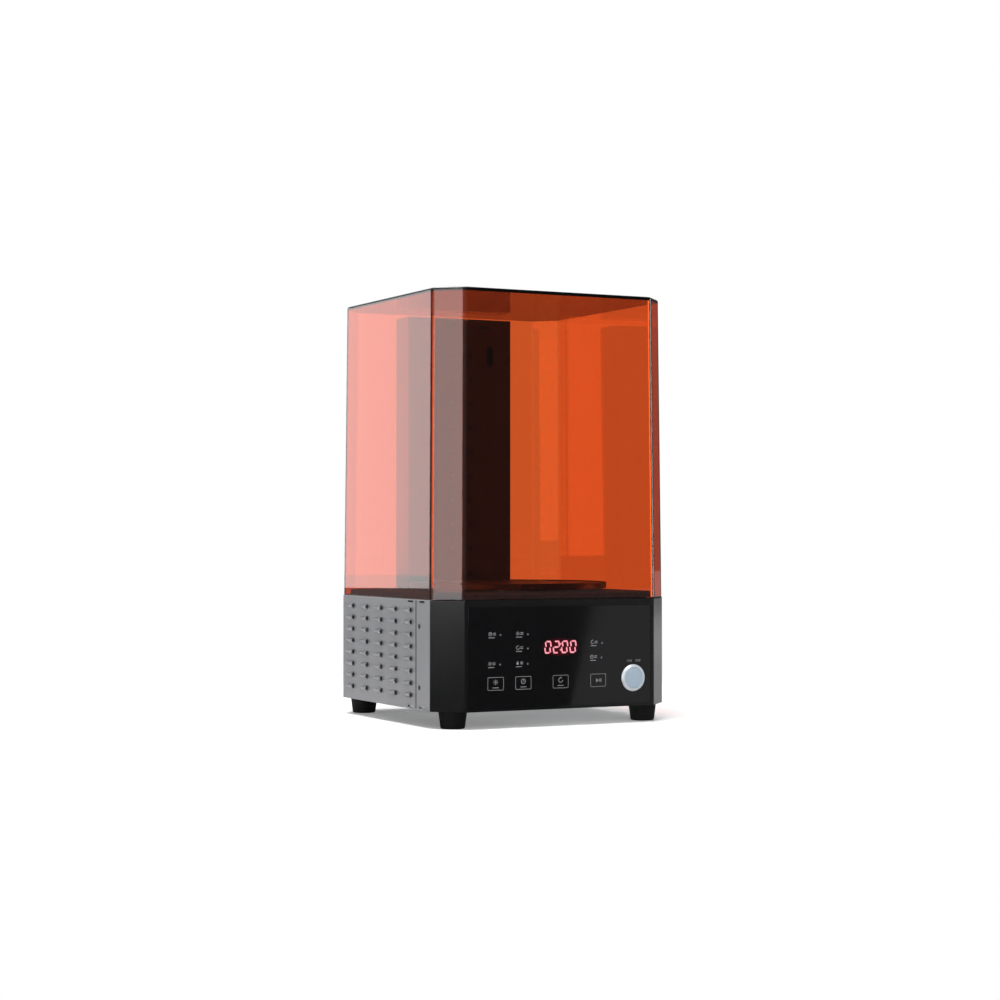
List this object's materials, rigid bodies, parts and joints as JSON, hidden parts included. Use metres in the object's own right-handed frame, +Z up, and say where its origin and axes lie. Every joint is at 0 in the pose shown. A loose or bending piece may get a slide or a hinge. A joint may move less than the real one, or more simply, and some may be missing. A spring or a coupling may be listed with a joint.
{
  "type": "light curing unit",
  "caption": "Desktop light curing unit: amber lift-off hood over a turntable and LED tower, on a square base with louvred sides, touch panel, display and push button.",
  "frame": {"origin": "on the table under the centre of the base", "axes": "+Z up, -Y towards the user at the touch panel, +X to the user's right"},
  "size_m": [0.2376, 0.2397, 0.38],
  "materials": {
    "amber_acrylic": "cast amber acrylic sheet, polished",
    "black_abs": "black moulded ABS, fine satin texture",
    "panel_glass": "black-backed touch glass, gloss",
    "grey_powder_coat": "metallic grey powder coat on folded sheet",
    "zinc_steel": "zinc-plated folded steel",
    "foot_rubber": "black rubber",
    "button_metal": "satin anodised aluminium",
    "display_black": "black epoxy display housing",
    "lamp_clear": "clear light guides",
    "board_green": "solder-masked circuit board",
    "component_black": "moulded component bodies",
    "foam_conductive": "conductive foam",
    "tower_black": "black powder coat on folded steel",
    "led_ceramic": "ceramic LED packages with clear lenses",
    "fin_aluminium": "extruded aluminium, mill finish",
    "turntable_black": "black moulded turntable",
    "magnet_nickel": "nickel-plated magnet",
    "bush_bronze": "sintered bronze",
    "pin_steel": "ground steel",
    "washer_white": "PTFE",
    "screw_black": "black-zinc machine screws",
    "motor_case": "motor with black laminations"
  },
  "bodies": {
    "base": {"board_components": "component_black", "board_screws": "screw_black", "board_standoffs": "zinc_steel", "bottom_pan": "zinc_steel", "cable_grommet": "foot_rubber", "casing_screws": "screw_black", "control_board": "board_green", "deck_pillars": "zinc_steel", "deck_plate": "black_abs", "display_module": "display_black", "drive_screws": "screw_black", "fan_frame": "black_abs", "foot_front_left": "foot_rubber", "foot_front_right": "foot_rubber", "foot_rear_left": "foot_rubber", "foot_rear_right": "foot_rubber", "foot_screws": "screw_black", "front_fascia": "black_abs", "indicator_lamps": "lamp_clear", "inlet_pins": "pin_steel", "led_board": "board_green", "led_emitters": "led_ceramic", "led_heat_sink": "fin_aluminium", "mains_inlet": "black_abs", "motor_bracket": "zinc_steel", "pan_screws": "screw_black", "pivot_nut": "zinc_steel", "pivot_pin": "pin_steel", "power_button_bezel": "button_metal", "power_button_nut": "zinc_steel", "power_supply": "zinc_steel", "power_switch_block": "black_abs", "rear_panel": "grey_powder_coat", "rear_screws": "screw_black", "side_cover_left": "grey_powder_coat", "side_cover_right": "grey_powder_coat", "side_strip_left": "grey_powder_coat", "side_strip_right": "grey_powder_coat", "thrust_washer": "washer_white", "touch_board": "board_green", "touch_glass": "panel_glass", "touch_pads": "foam_conductive", "tower_back_cover": "tower_black", "tower_channel": "tower_black", "tower_screws": "screw_black", "turntable_motor": "motor_case"},
    "hood": {"hood_front_pane": "amber_acrylic", "hood_right_pane": "amber_acrylic", "hood_rear_pane": "amber_acrylic", "hood_left_pane": "amber_acrylic", "hood_corner_panes": "amber_acrylic", "hood_top_plate": "amber_acrylic"},
    "turntable": {"turntable_disc": "turntable_black", "turntable_magnets": "magnet_nickel", "turntable_bush": "bush_bronze"},
    "drive": {"drive_rotor": "turntable_black", "rotor_magnets": "magnet_nickel", "motor_shaft": "pin_steel"},
    "power_button": {"power_button_cap": "button_metal"},
    "fan": {"fan_rotor": "black_abs"}
  },
  "joints": [
    {"name": "hood_lift", "type": "slide", "parent": "base", "child": "hood", "axis": [0, 0, 1], "range_m": [0, 0.275]},
    {"name": "turntable_spin", "type": "hinge", "parent": "base", "child": "turntable", "pos_m": [0, -0.016, 0.118], "axis": [0, 0, 1], "continuous": true},
    {"name": "drive_spin", "type": "hinge", "parent": "base", "child": "drive", "pos_m": [0, -0.016, 0.107], "axis": [0, 0, 1], "continuous": true},
    {"name": "power_button_press", "type": "slide", "parent": "base", "child": "power_button", "axis": [0, 1, 0], "range_m": [0, 0.002], "stiffness_N_per_m": 600, "springref_m": -0.001},
    {"name": "fan_spin", "type": "hinge", "parent": "base", "child": "fan", "pos_m": [0.05, 0.108, 0.062], "axis": [0, 1, 0], "continuous": true}
  ],
  "couplings": [
    {"joint": "drive_spin", "follows": "turntable_spin", "ratio": 1}
  ]
}
